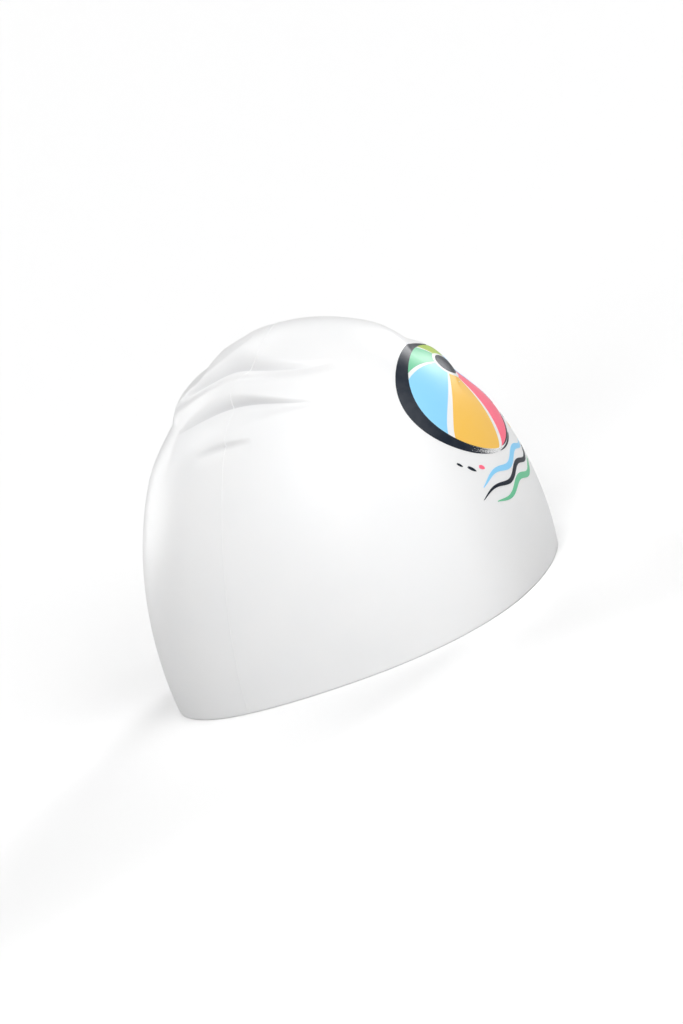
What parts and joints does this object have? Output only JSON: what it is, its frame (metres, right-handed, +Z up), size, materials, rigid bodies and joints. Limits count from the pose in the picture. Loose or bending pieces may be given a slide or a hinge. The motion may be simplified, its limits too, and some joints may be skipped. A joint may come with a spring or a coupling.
{
  "type": "silicone swim cap",
  "caption": "Moulded silicone swim cap in its rounded, worn form: a hollow white dome open below, with a thickened rim, soft folds near the crown and a beach ball print.",
  "frame": {"origin": "middle of the bounding box, in the plane of the rim that the cap stands on", "axes": "+Z up towards the crown, -Y towards the wearer's forehead, -X towards the wearer's right ear"},
  "size_m": [0.1582, 0.2156, 0.16],
  "materials": {
    "silicone": "satin",
    "print_ink": "satin"
  },
  "bodies": {
    "root": {"cap_shell": "silicone"}
  },
  "joints": []
}
